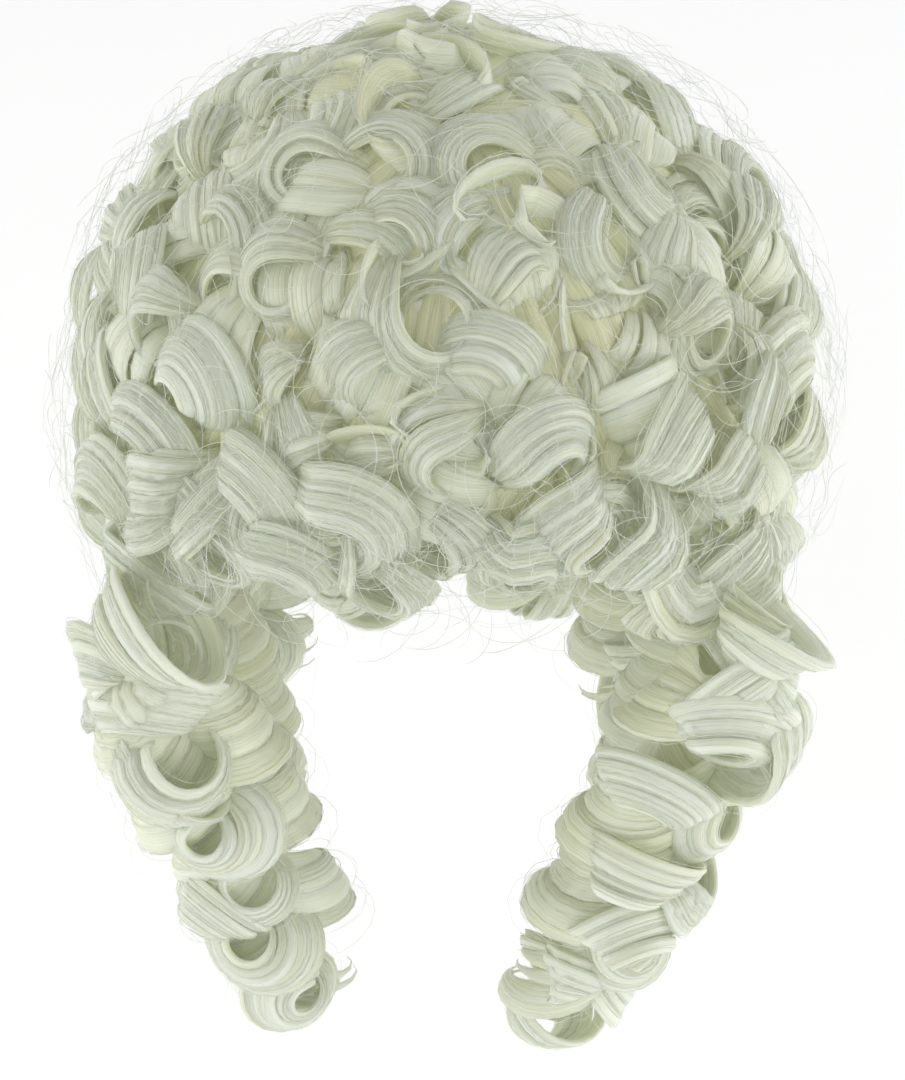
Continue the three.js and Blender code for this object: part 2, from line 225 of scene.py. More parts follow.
class Strands:
    """Collects closed tubes and makes them one mesh.

    Each point keeps its tone, its depth in the hair and its place on the fibres: how far it is
    across them and along them, in metres, and a number of its own for each lock.
    """

    off_head = 4.9 * MM       # no point of it is closer to the head than this

    def __init__(self):
        self.points, self.faces, self.tone, self.depth, self.fibre = [], [], [], [], []
        self.count = 0
        self.triangles = 0

    def add_rings(self, rings, tone, depth, fibre):
        """rings is (tubes, steps, sides, 3); tone, depth and fibre broadcast to it."""
        tubes, steps, sides, _ = rings.shape
        index = np.arange(tubes * steps * sides).reshape(tubes, steps, sides) + self.count
        following = np.roll(index, -1, axis=2)
        quads = np.stack([index[:, :-1], following[:, :-1], following[:, 1:], index[:, 1:]], -1)
        self.faces.append(quads.reshape(-1, 4))
        self.faces.append(index[:, 0, ::-1])
        self.faces.append(index[:, -1])
        self.points.append(rings.reshape(-1, 3))
        self.tone.append(np.broadcast_to(tone, rings.shape[:3]).ravel())
        self.depth.append(np.broadcast_to(depth, rings.shape[:3]).ravel())
        self.fibre.append(np.broadcast_to(fibre, rings.shape).reshape(-1, 3))
        self.count += tubes * steps * sides
        self.triangles += 2 * tubes * sides * (steps - 1) + 2 * tubes * (sides - 2)

    def add_strands(self, paths, across, radius, tone, depth):
        """Three-sided tubes along paths (tubes, steps, 3); across is any direction off the path."""
        along = unit(np.gradient(paths, axis=1))
        across = np.broadcast_to(across, paths.shape)
        u = unit(across - (across * along).sum(-1, keepdims=True) * along)
        v = np.cross(along, u)
        angle = np.arange(3) * 2 * math.pi / 3
        spoke = u[:, :, None] * np.cos(angle)[:, None] + v[:, :, None] * np.sin(angle)[:, None]
        size = np.broadcast_to(radius, paths.shape[:2])[:, :, None, None]
        fibre = np.zeros((*paths.shape[:2], 1, 3))
        fibre[..., 0, 0] = np.arange(len(paths))[:, None] * 0.37 * MM
        self.add_rings(paths[:, :, None] + size * spoke, tone[..., None], depth[..., None], fibre)

    def make(self, name, body, nodes, material):
        """Makes the mesh, which replaces the CAD nodes and rides on the body."""
        mesh = bpy.data.meshes.new(name)
        points = keep_off_head(np.concatenate(self.points), self.off_head).astype(np.float32)
        sizes = np.concatenate([np.full(len(f), f.shape[1]) for f in self.faces])
        corners = np.concatenate([f.ravel() for f in self.faces])
        mesh.vertices.add(len(points))
        mesh.vertices.foreach_set("co", points.ravel())
        mesh.loops.add(len(corners))
        mesh.loops.foreach_set("vertex_index", corners.astype(np.int32))
        mesh.polygons.add(len(sizes))
        mesh.polygons.foreach_set("loop_start", (np.cumsum(sizes) - sizes).astype(np.int32))
        mesh.polygons.foreach_set("use_smooth", np.ones(len(sizes), bool))
        mesh.update(calc_edges=True)
        for label, store in (("tone", self.tone), ("depth", self.depth)):
            attribute = mesh.attributes.new(label, "FLOAT", "POINT")
            attribute.data.foreach_set("value", np.concatenate(store).astype(np.float32))
        attribute = mesh.attributes.new("fibre", "FLOAT_VECTOR", "POINT")
        attribute.data.foreach_set("vector", np.concatenate(self.fibre).astype(np.float32).ravel())
        mesh.materials.append(material)
        piece = bpy.data.objects.new(name, mesh)
        bpy.context.scene.collection.objects.link(piece)
        if body:
            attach(piece, body)
        if nodes:
            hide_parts(*nodes)
        return piece


def smooth_step(x):
    """Eases from 0 to 1 as x does, and stays there outside."""
    x = np.clip(x, 0, 1)
    return x * x * (3 - 2 * x)


def strand_taper(s):
    """A strand's thickness along its length, as a share of its full one."""
    return np.clip(np.minimum(1, 0.5 + 3 * s) * np.minimum(1, 0.2 + 5 * (1 - s)), 0.2, 1)


def shorten(paths, end):
    """Paths cut at a share of their length, with the same number of steps."""
    steps = paths.shape[1]
    at = np.linspace(0, 1, steps)[None] * end[:, None] * (steps - 1)
    low = np.minimum(at.astype(int), steps - 2)
    rest = (at - low)[..., None]
    rows = np.arange(len(paths))[:, None]
    return paths[rows, low] * (1 - rest) + paths[rows, low + 1] * rest


def lengths_along(path):
    """How far each point of a path lies along it."""
    return np.concatenate([[0], np.cumsum(np.linalg.norm(np.diff(path, axis=0), axis=1))])


def even_steps(path, steps):
    """A path with its points spread evenly along its length."""
    length = lengths_along(path)
    at = np.linspace(0, length[-1], steps)
    return np.stack([np.interp(at, length, path[:, k]) for k in range(3)], 1)


def bezier(a, b, c, d, steps):
    """A smooth path from a to d, drawn towards b and c on its way."""
    t = np.linspace(0, 1, steps)[:, None]
    return (1 - t) ** 3 * a + 3 * (1 - t) ** 2 * t * b + 3 * (1 - t) * t * t * c + t ** 3 * d


WISP_SIDES = 12
RING_STEPS = 44               # along the coil, before its path is spread evenly
CURL_STEPS = 27               # along the finished curl, with its root
ROOT_GAP = 8 * MM             # from the head to a curl's root
ROOT_INSET = 7                # from the cap's edge up to the lowest root, in degrees


def add_wisp(hair, rng, path, thick_way, wide_way, thick, wide, tone, depth, strands, loose):
    """A flat band of parallel fibres along a path, with a softly ridged core and separate strands.

    thick_way and wide_way are the section's axes at each step, and thick and wide its half sizes.
    """
    steps = len(path)
    s = np.linspace(0, 1, steps)
    phases = rng.uniform(0, 2 * math.pi, 3)
    twist = rng.uniform(-0.3, 0.3)
    ends = (0.3 + 0.7 * smooth_step(s / 0.1)) * (0.12 + 0.88 * smooth_step((1 - s) / 0.14))
    thick, wide = thick * ends, wide * ends

    def place(angle, share):
        """Points at angles round the band and a share of its half sizes, for each step."""
        reach = share * (1 + 0.06 * np.cos(3 * angle + phases[0]) + 0.05 * np.cos(5 * angle + phases[1]))
        turned = angle + twist * s
        return (
            path
            + (thick * reach * np.cos(turned))[..., None] * thick_way
            + (wide * reach * np.sin(turned))[..., None] * wide_way
        )

    side_angle = np.arange(WISP_SIDES) * 2 * math.pi / WISP_SIDES
    core = np.stack([place(a, 0.97) for a in side_angle], 1)
    length = lengths_along(path)
    fibre = np.zeros((1, steps, WISP_SIDES, 3))
    fibre[..., 0] = np.abs(side_angle - math.pi) * wide.max()
    fibre[..., 1] = length[:, None]
    fibre[..., 2] = rng.uniform(0, 1)
    # Painted shade: the core's side away from its face gets a lower depth, which the material paints darker
    # and warmer.
    outer = 0.86 + 0.14 * np.cos(side_angle)
    side_tone = tone + 0.06 * rng.standard_normal(WISP_SIDES)
    hair.add_rings(core[None], side_tone, depth[:, None] * outer, fibre)

    angle = rng.normal(0, 1.15, strands)
    share = 1.0 + 0.22 * np.abs(rng.standard_normal(strands))
    wave = rng.uniform(0.4, 1.4, strands)
    shift = rng.uniform(0, 2 * math.pi, strands)
    flare = rng.normal(0, 0.16, strands)
    paths = np.stack([
        place(a + 0.16 * np.sin(wv * 6.3 * s + sh), sr * (1 + fl * s * s) + 0.05 * np.sin(wv * 9 * s + sh))
        for a, sr, wv, sh, fl in zip(angle, share, wave, shift, flare)
    ])
    paths = shorten(paths, rng.uniform(0.90, 1.0, strands))
    radius = rng.uniform(0.08, 0.16, strands)[:, None] * MM * strand_taper(s)
    tones = tone + rng.normal(0.06, 0.24, strands)
    hair.add_strands(paths, wide_way[None], radius, tones[:, None], depth[None])

    if loose:
        angle = rng.uniform(0, 2 * math.pi, loose)
        share = rng.uniform(1.1, 2.6, loose)
        wave = rng.uniform(0.6, 2.0, loose)
        shift = rng.uniform(0, 2 * math.pi, loose)
        paths = np.stack([
            place(a + 0.5 * np.sin(wv * 6.3 * s + sh), sr * (0.8 + 0.6 * s) + 0.3 * np.sin(wv * 11 * s + sh))
            for a, sr, wv, sh in zip(angle, share, wave, shift)
        ])
        radius = rng.uniform(0.05, 0.08, loose)[:, None] * MM * strand_taper(s)
        hair.add_strands(paths, wide_way[None], radius, np.full((loose, 1), tone + 0.2), depth[None])


def add_lock(hair, rng, path, face_way, band_way, thick, wide, tone, depth, wisps, strands, loose):
    """A lock of several thin wisps that overlap side by side along a path.

    face_way is the way that its face looks, band_way the way across it, and thick and wide are its
    half sizes along those, at each step. The wisps drift, lift and end apart from each other.
    """
    steps = len(path)
    s = np.linspace(0, 1, steps)
    for k in range(wisps):
        middle = 0.0 if wisps == 1 else -0.8 + 1.6 * k / (wisps - 1)
        drift = rng.normal(0, 0.15) * np.sin(3.5 * s + rng.uniform(0, 6))
        lift = rng.normal(0, 0.22) * np.sin(3 * s + rng.uniform(0, 6))
        offset = middle * (1 - 0.35 * smooth_step((s - 0.55) / 0.45)) + drift
        rise = lift + 0.55 * (1 - middle * middle)
        line = path + (wide * offset)[:, None] * band_way + (thick * rise)[:, None] * face_way
        line = shorten(line[None], rng.uniform(0.86, 1.0, 1))[0]
        add_wisp(hair, rng, line, face_way, band_way, 0.42 * thick, 2.0 / (wisps + 0.75) * wide,
                 tone + rng.normal(0, 0.05), depth, max(1, int(strands / wisps * DETAIL)),
                 int(round(loose / wisps * DETAIL)))


def ring_section(path, axis, centre, cone):
    """The face and band directions of a lock that rings an axis, its face turned up by the cone angle."""
    along = unit(np.gradient(path, axis=0))
    band = unit(axis - (axis * along).sum(-1, keepdims=True) * along)
    face = np.cross(band, along)
    face = face * np.sign(((path - centre) * face).sum(-1).mean() or 1)
    c, d = math.cos(math.radians(cone)), math.sin(math.radians(cone))
    return c * face + d * band, c * band - d * face


def add_ring(hair, rng, place, radius, thick, wide, tilt, lean, start, turns, hand,
             sink=0.0, wisps=6, strands=60, loose=9, tone=0.5, root=None):
    """One ring curl: it rises from underneath and coils inwards round an axis.

    place is a point on the outside of the hair with its outward, downward and sideways directions,
    and root the point that it grows from, or None for the cap underneath.
    tilt is the axis's angle from straight outwards, lean the way that it tips (0 is down, 90 is
    sideways), and start the side that the ring begins on, in degrees.
    """
    point, out, down, side = place
    cone = 4 + 46 * math.cos(math.radians(tilt))
    tilt, lean, start = np.radians([tilt, lean, start])
    axis = unit(math.cos(tilt) * out + math.sin(tilt) * (math.cos(lean) * down + math.sin(lean) * side))
    reference = down if abs(down @ axis) < 0.9 else side
    u = unit(reference - (reference @ axis) * axis)
    v = np.cross(axis, u)
    reach = wide * abs(math.sin(math.radians(cone))) + thick * 0.5
    depth = math.cos(tilt) * 0.6 * wide + math.sin(tilt) * (radius + 0.6 * reach)
    centre = point - out * (depth + sink)
    s = np.linspace(0, 1, RING_STEPS)
    theta = start + hand * 2 * math.pi * turns * s
    r = radius * (1 - 0.5 * smooth_step((s - 0.25) / 0.75))
    ring = centre + (r * np.cos(theta))[:, None] * u + (r * np.sin(theta))[:, None] * v
    ring = ring + np.outer((0.35 - s) * 0.9 * wide, axis)
    begin = unit(ring[1] - ring[0])
    lead = 0.9 * radius
    on_cap = root is None
    if on_cap:
        root = keep_on_cap(ring[0] - begin * lead - 1.3 * out * lead)
    lead_in = bezier(root, root + out * 0.4 * lead, ring[0] - begin * 0.6 * lead, ring[0], 14)
    path = even_steps(np.concatenate([lead_in[:-1], ring]), CURL_STEPS)
    if on_cap:
        path = keep_off_head(path, 7 * MM + thick)
    share = np.linspace(0, 1, len(path))
    size = (0.25 + 0.75 * smooth_step(share / 0.24)) * (1 - 0.65 * smooth_step((share - 0.5) / 0.5))
    # surface is the depth value that the material turns into painted shade: it is lower at the root where
    # the lead-in dives under, towards the inner coil, and for curls sunk deeper.
    surface = 0.35 + 0.65 * smooth_step(share / 0.25)
    surface = surface * (1 - 0.35 * smooth_step((share - 0.6) / 0.4)) * (1 - sink / (34 * MM))
    face_way, band_way = ring_section(path, axis, centre, cone)
    add_lock(hair, rng, path, face_way, band_way, thick * size, wide * size, tone, surface,
             wisps, strands, loose)


def keep_off_head(points, gap):
    """Points moved outwards where they lie closer to the head than the gap."""
    points = np.atleast_2d(points)
    size = np.stack([
        np.full(len(points), HEAD["x"]),
        np.where(points[:, 1] < 0, HEAD["front"], HEAD["back"]),
        np.full(len(points), HEAD["z"]),
    ], 1) + gap
    local = (points - [0, 0, CENTRE_Z]) / size
    reach = np.linalg.norm(local, axis=1, keepdims=True)
    moved = np.where(reach < 1, local / np.maximum(reach, 1e-6), local) * size + [0, 0, CENTRE_Z]
    return moved[0] if len(moved) == 1 else moved


def keep_on_cap(point):
    """A curl's root, moved off the head and up from the cap's edge where it lies past either."""
    point = keep_off_head(point, ROOT_GAP)
    across, ahead, up = (point - [0, 0, CENTRE_Z]) / [HEAD["x"], HEAD["front"], HEAD["z"]]
    azimuth = math.degrees(math.atan2(across, -ahead))
    polar = math.degrees(math.atan2(math.hypot(across, ahead), up))
    lowest = cap_edge(azimuth) - ROOT_INSET
    return head_points(azimuth, lowest, ROOT_GAP) if polar > lowest else point


# ---------- materials ----------

def new_material(name, roughness):
    material = bpy.data.materials.new(name)
    material.use_nodes = True
    shader = material.node_tree.nodes["Principled BSDF"]
    shader.inputs["Roughness"].default_value = roughness
    return material, material.node_tree, shader


def add_node(tree, kind, **settings):
    node = tree.nodes.new(kind)
    for key, value in settings.items():
        setattr(node, key, value)
    return node


def colour_ramp(tree, source, stops):
    """A ramp of (place, colour) stops over a value."""
    node = tree.nodes.new("ShaderNodeValToRGB")
    ramp = node.color_ramp
    while len(ramp.elements) < len(stops):
        ramp.elements.new(0.5)
    for element, (place, colour) in zip(ramp.elements, stops):
        element.position = place
        element.color = (*colour, 1)
    tree.links.new(source, node.inputs[0])
    return node.outputs[0]


def hair_material():
    """Silky synthetic fibre, near white with a cool tint and random streaks, with painted shade that makes
    it warmer and darker where the hair lies deeper, and a faint painted glow.
    """
    material, tree, shader = new_material("curled_fibre", 0.38)
    tone = add_node(tree, "ShaderNodeAttribute", attribute_name="tone").outputs["Fac"]
    depth = add_node(tree, "ShaderNodeAttribute", attribute_name="depth").outputs["Fac"]
    fibre = add_node(tree, "ShaderNodeAttribute", attribute_name="fibre").outputs["Vector"]
    spread = add_node(tree, "ShaderNodeVectorMath", operation="MULTIPLY")
    spread.inputs[1].default_value = (3600, 45, 40)
    tree.links.new(fibre, spread.inputs[0])
    streak = add_node(tree, "ShaderNodeTexNoise")
    streak.inputs["Scale"].default_value = 1.0
    streak.inputs["Detail"].default_value = 3.0
    tree.links.new(spread.outputs[0], streak.inputs["Vector"])
    varied = add_node(tree, "ShaderNodeMath", operation="MULTIPLY_ADD")
    varied.inputs[1].default_value = 2.4
    tree.links.new(streak.outputs["Fac"], varied.inputs[0])
    shifted = add_node(tree, "ShaderNodeMath", operation="SUBTRACT")
    shifted.inputs[1].default_value = 1.2
    tree.links.new(tone, shifted.inputs[0])
    tree.links.new(shifted.outputs[0], varied.inputs[2])
    light = colour_ramp(tree, varied.outputs[0], [
        (0.05, (0.64, 0.645, 0.45)), (0.5, (0.74, 0.775, 0.635)), (0.95, (0.82, 0.87, 0.78)),
    ])
    # Painted shade: the colour is multiplied warmer and darker where the depth attribute is low, deep inside
    # the hair.
    deep = colour_ramp(tree, depth, [
        (0.0, (0.96, 0.93, 0.73)), (0.5, (0.99, 0.98, 0.89)), (0.95, (1, 1, 1)),
    ])
    mix = add_node(tree, "ShaderNodeMix", data_type="RGBA", blend_type="MULTIPLY")
    mix.inputs[0].default_value = 1.0
    tree.links.new(light, mix.inputs[6])
    tree.links.new(deep, mix.inputs[7])
    tree.links.new(mix.outputs[2], shader.inputs["Base Color"])
    bump = add_node(tree, "ShaderNodeBump")
    bump.inputs["Strength"].default_value = 0.5
    bump.inputs["Distance"].default_value = 0.25 * MM
    tree.links.new(streak.outputs["Fac"], bump.inputs["Height"])
    tree.links.new(bump.outputs[0], shader.inputs["Normal"])
    # Painted glow: a faint emission in the hair's own colour lifts its shaded parts, in place of light let
    # through the fibres.
    tree.links.new(mix.outputs[2], shader.inputs["Emission Color"])   # light let through the hair
    shader.inputs["Emission Strength"].default_value = 0.075
    shader.inputs["Specular IOR Level"].default_value = 0.5
    shader.inputs["Sheen Weight"].default_value = 0.2
    shader.inputs["Sheen Roughness"].default_value = 0.4
    shader.inputs["Subsurface Weight"].default_value = 0.35
    shader.inputs["Subsurface Radius"].default_value = (1.0, 1.0, 0.8)
    shader.inputs["Subsurface Scale"].default_value = 4 * MM
    return material


HAIR_MATERIAL = hair_material()


# ---------- blocks of curls on the cap ----------

def mirrored(name, azimuths, polars):
    """A block on the right and its twin on the left."""
    low, high = azimuths
    return {f"{name}_right": ((low, high), polars), f"{name}_left": ((-high, -low), polars)}


BLOCKS = {
    "crown_curls": ((-180, 180), (0, 30)),
    "top_curls_front": ((-36, 36), (30, 60)),
    "fringe_curls_middle": ((-13, 13), (60, 76)),
    **mirrored("top_curls", (36, 108), (30, 60)),
    **mirrored("top_curls_back", (108, 180), (30, 60)),
    **mirrored("fringe_curls", (13, 38), (60, 76)),
    **mirrored("temple_curls", (38, 84), (60, 98)),
    **mirrored("side_curls", (84, 132), (60, 96)),
    **mirrored("back_curls", (132, 180), (60, 96)),
    **mirrored("lower_side_curls", (86, 132), (96, 114)),
    **mirrored("nape_curls", (132, 180), (96, 118)),
}

# The curls that the eye meets first, from the front:
# azimuth, polar angle, ring radius, half thickness, half width, tilt, lean, start, turns, hand.
FRONT_CURLS = [
    (-4, 34, 17, 3.5, 9.5, 18, 80, 250, 1.5, 1),
    (-66, 22, 12, 3.0, 7.0, 20, 60, 200, 1.5, 1),
    (-42, 13, 12.5, 3.0, 7.0, 22, 30, 250, 1.5, -1),
    (28, 12, 13, 3.0, 7.5, 20, 0, 120, 1.5, 1),
    (-44, 35, 12.5, 3.0, 7.0, 24, 20, 200, 1.5, 1),
    (-27, 46, 12, 3.0, 7.5, 45, 10, 240, 1.2, 1),
    (36, 44, 16, 3.5, 15.0, 82, 80, 200, 1.1, -1),
    (1, 52, 12.5, 3.0, 7.5, 30, 10, 190, 1.4, 1),
    (17, 54, 12, 3.0, 7.5, 40, 20, 240, 1.3, -1),
    (-16, 64, 15, 3.5, 8.5, 22, 0, 200, 1.5, -1),
    (-1, 64, 12, 3.0, 8.0, 55, -40, 240, 1.2, 1),
    (-31, 62, 12, 3.0, 8.5, 45, -30, 200, 1.3, -1),
    (-45, 80, 12, 3.0, 6.5, 25, 0, 200, 1.5, 1),
    (22, 66, 14.5, 3.5, 8.5, 32, 10, 200, 1.4, 1),
    (40, 61, 14.5, 3.5, 8.5, 48, 30, 240, 1.3, -1),
    (61, 64, 12.5, 3.0, 7.0, 26, 20, 190, 1.5, 1),
    (90, 53, 12.5, 3.0, 7.0, 26, 0, 200, 1.5, -1),
    (-31, 53, 11, 3.0, 8.5, 62, -50, 240, 1.1, 1),
    (-66, 37, 12, 3.0, 7.5, 32, 10, 240, 1.4, -1),
    (52, 30, 12.5, 3.0, 7.0, 30, 20, 190, 1.4, 1),
    (78, 30, 12.5, 3.0, 7.0, 24, 40, 200, 1.5, 1),
    (20, 30, 12, 3.0, 8.0, 45, 40, 240, 1.3, -1),
    (-62, 52, 12.5, 3.0, 7.5, 30, 20, 200, 1.5, 1),
    (56, 49, 12.5, 3.0, 7.5, 34, 10, 190, 1.4, -1),
    (-54, 66, 12.5, 3.0, 7.5, 28, 20, 230, 1.5, -1),
    (-36, 75, 12, 3.0, 7.5, 36, 0, 230, 1.3, 1),
    (8, 41, 12, 3.0, 8.5, 50, -30, 230, 1.3, -1),
    (-15, 42, 12, 3.0, 8.0, 40, 30, 210, 1.4, 1),
    (10, 22, 12, 3.0, 8.0, 35, 20, 200, 1.4, 1),
    (-16, 22, 12, 3.0, 8.0, 40, -20, 230, 1.4, -1),
    (11, 69, 11, 3.0, 7.5, 35, 20, 200, 1.4, -1),
    (-9, 72, 11, 3.0, 7.0, 45, -30, 230, 1.3, 1),
    (32, 73, 12, 3.0, 8.0, 40, 20, 200, 1.4, 1),
    (-25, 72, 12, 3.0, 7.5, 35, 0, 220, 1.4, -1),
    (-46, 72, 13, 3.0, 8.0, 30, 10, 200, 1.4, 1),
    (48, 71, 13, 3.0, 8.0, 35, 20, 220, 1.4, -1),
    (50, 84, 13, 3.0, 8.0, 30, 0, 200, 1.4, 1),
    (-52, 92, 13, 3.0, 8.5, 30, 10, 230, 1.4, -1),
    (56, 95, 13, 3.0, 8.5, 35, -10, 200, 1.4, 1),
]


def block_of(azimuth, polar):
    """The block that an azimuth and polar angle lie in, or None."""
    azimuth = (azimuth + 180) % 360 - 180
    for name, ((a0, a1), (p0, p1)) in BLOCKS.items():
        if a0 <= azimuth < a1 and p0 <= polar < p1:
            return name
    return None


def spread_places(taken, spacing):
    """Places in staggered rows over the cap, clear of the places that are taken."""
    rng = np.random.default_rng(11)
    rows = np.arange(6, 122, 12.5)
    places = []
    for i, polar in enumerate(rows):
        ring = 2 * math.pi * 0.115 * math.sin(math.radians(polar))
        count = max(1, round(ring / spacing))
        for k in range(count):
            azimuth = -180 + 360 * (k + 0.5 * (i % 2)) / count + rng.uniform(-4, 4)
            at = polar + rng.uniform(-2.5, 2.5)
            if block_of(azimuth, at) is None:
                continue
            point = hair_points(azimuth, at)
            if all(np.linalg.norm(point - other) > 0.75 * spacing for other in taken):
                places.append((azimuth, at))
    return places


PIECE_TRIANGLES = 160000      # a piece is closed when it holds this many
FLYAWAYS = 700                # loose hairs over half a sphere
CURL_SPACING = 24 * MM
UNDER_SPACING = 28 * MM
UNDER_TURN = 9                # the under layer's curls stand beside the outer ones, in degrees
FRINGE_CLEAR = (42, 60)       # no under layer within this azimuth, below this polar angle
BASE_ENDS = {76: 68, 98: 88, 114: 104, 118: 110}   # where the base ends, for a block's lower edge


class Batch:
    """The pieces of one block's hair: a new piece begins when the last one is full."""

    def __init__(self):
        self.pieces = [Strands()]

    def hair(self):
        if self.pieces[-1].triangles > PIECE_TRIANGLES:
            self.pieces.append(Strands())
        return self.pieces[-1]

    def make(self, block, body):
        for number, hair in enumerate(self.pieces, 1):
            hair.make(f"{block}_strands_{number}", body, [block], HAIR_MATERIAL)


def back_rise(azimuth, polar):
    """How far the curls stand proud where the hair is thin, at the middle of the back."""
    return 6 * MM * smooth_step((abs(azimuth) - 120) / 50) * smooth_step((polar - 50) / 25)


def crown_sink(polar):
    """How much closer to the head the curls lie on the crown."""
    return 4.0 * MM * smooth_step((60 - polar) / 25)


def make_cap_curls():
    """All the curls of the cap, block by block, over a close under layer."""
    rng = np.random.default_rng(7)
    batches = {name: Batch() for name in BLOCKS}
    taken = []
    for azimuth, polar, radius, thick, wide, tilt, lean, start, turns, hand in FRONT_CURLS:
        taken.append(hair_points(azimuth, polar))
        hair = batches[block_of(azimuth, polar) or "fringe_curls_middle"].hair()
        add_ring(hair, rng, hair_frame(azimuth, polar), radius * MM, thick * MM, wide * MM, tilt, lean,
                 start, turns, hand, tone=rng.uniform(0.47, 0.57), sink=crown_sink(polar) - 2 * MM,
                 strands=76, loose=18)
    for azimuth, polar in spread_places(taken, CURL_SPACING):
        hair = batches[block_of(azimuth, polar)].hair()
        add_ring(
            hair, rng, hair_frame(azimuth, polar),
            radius=rng.uniform(11, 15.5) * MM,
            thick=rng.uniform(2.6, 3.4) * MM,
            wide=rng.uniform(7, 10.5) * MM,
            tilt=rng.uniform(10, 65),
            lean=rng.uniform(-60, 60),
            start=rng.uniform(150, 290),
            turns=rng.uniform(1.25, 1.6),
            hand=rng.choice([-1, 1]),
            sink=rng.uniform(-2, 3) * MM - back_rise(azimuth, polar) + crown_sink(polar),
            strands=46,
            loose=9,
            tone=rng.uniform(0.44, 0.58),
        )
    for azimuth, polar in spread_places([], UNDER_SPACING):
        shifted = azimuth + UNDER_TURN
        if abs(shifted) < FRINGE_CLEAR[0] and polar > FRINGE_CLEAR[1]:
            continue
        hair = batches[block_of(shifted, polar) or block_of(azimuth, polar)].hair()
        add_ring(
            hair, rng, hair_frame(shifted, polar),
            radius=rng.uniform(12, 16) * MM,
            thick=rng.uniform(2.6, 3.4) * MM,
            wide=rng.uniform(9, 13) * MM,
            tilt=rng.uniform(40, 90),
            lean=rng.uniform(0, 360),
            start=rng.uniform(0, 360),
            turns=rng.uniform(0.9, 1.3),
            hand=rng.choice([-1, 1]),
            sink=rng.uniform(3, 7) * MM - back_rise(shifted, polar),
            wisps=3, strands=12, loose=2,
            tone=rng.uniform(0.46, 0.56),
        )
    for name, batch in batches.items():
        add_base(batch.hair(), rng, *BLOCKS[name])
        (a0, a1), (p0, p1) = BLOCKS[name]
        band = math.cos(math.radians(p0)) - math.cos(math.radians(p1))
        loose = int(FLYAWAYS * (a1 - a0) / 360 * band * DETAIL) + 4
        add_flyaways(batch.hair(), rng, (a0, a1), (p0, p1), 3 * loose if p1 == 76 else loose)
        batch.make(name, "cap")


def hair_depth(azimuth, polar):
    """How deep the hair is over the head, in metres."""
    return np.linalg.norm(hair_points(azimuth, polar) - head_points(azimuth, polar), axis=-1)


def add_base(hair, rng, azimuths, polars):
    """The close layer of hair under the curls, as wavy wisps that run down the head."""
    (a0, a1), (p0, p1) = azimuths, polars
    p0 = max(p0, 3)
    p1 = BASE_ENDS.get(p1, p1)
    wisps = max(6, round((a1 - a0) / 5 * math.sin(math.radians((p0 + p1) / 2))))
    steps = 14
    for k in range(wisps):
        lowest = cap_edge(a0 + (a1 - a0) * (k + 0.5) / wisps) - 2
        polar = np.linspace(p0 - 2, max(min(p1 + 1, lowest), p0 + 4), steps)
        sway = rng.uniform(1, 2.5) * np.sin(np.linspace(0, rng.uniform(3, 7), steps) + rng.uniform(0, 6))
        azimuth = a0 + (a1 - a0) * (k + 0.5) / wisps + sway
        room = hair_depth(azimuth, polar) - BASE_START
        path = head_points(azimuth, polar, BASE_START + rng.uniform(0.26, 0.36) * room)
        out = unit(path - np.array([0, 0, CENTRE_Z]))
        half = 0.75 * (a1 - a0) / wisps * math.pi / 180 * 0.095 * np.sin(np.radians(np.clip(polar, 8, 172)))
        side = unit(np.cross(np.gradient(path, axis=0), out))
        # Painted shade: the base layer's low depth of 0.2 makes the material paint it darker and warmer.
        add_wisp(hair, rng, path, out, side, 0.2 * room, half, 0.5, np.full(steps, 0.2),
                 int(5 * DETAIL) + 1, 0)


def add_flyaways(hair, rng, azimuths, polars, count):
    """Single hairs that have worked loose and stand off the curls in open arcs."""
    steps = 18
    s = np.linspace(-1, 1, steps)
    paths = []
    for _ in range(count):
        azimuth = rng.uniform(*azimuths)
        polar = math.degrees(math.acos(rng.uniform(*np.cos(np.radians(polars))[::-1])))
        point, out, down, side = hair_frame(azimuth, polar)
        turn = rng.uniform(0, 2 * math.pi)
        way = math.cos(turn) * down + math.sin(turn) * side
        across = np.cross(out, way)
        radius = rng.uniform(7, 20) * MM
        sweep = rng.uniform(0.7, 1.9)
        arc = radius * (np.outer(np.sin(sweep * s), way) + np.outer(np.cos(sweep * s) - 0.6, across))
        rise = rng.uniform(-2, 3) * MM + rng.uniform(-3, 3) * MM * s + 1.5 * MM * np.sin(3 * s + turn)
        paths.append(point + arc + np.outer(rise, out))
    paths = np.stack(paths)
    radius = rng.uniform(0.06, 0.11, count)[:, None] * MM * strand_taper((s + 1) / 2)
    across = np.array([0.3, 0.2, 0.9])
    hair.add_strands(paths, across, radius, np.full((count, 1), 0.95), np.ones((1, steps)))


make_cap_curls()


# ---------- hanging locks ----------

def lock_line(node):
    """A hanging lock's middle line and half widths, from the levels of its CAD solid."""
    points = np.array([v.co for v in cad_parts[node].data.vertices])
    levels = np.unique(points[:, 2].round(5))
    rows = []
    for z in levels[1:-1]:
        ring = points[np.abs(points[:, 2] - z) < 2e-5]
        low, high = ring.min(0), ring.max(0)
        rows.append([*((low + high) / 2), *((high - low)[:2] / 2)])
    rows = np.array(rows)
    return rows[np.argsort(-rows[:, 2])]


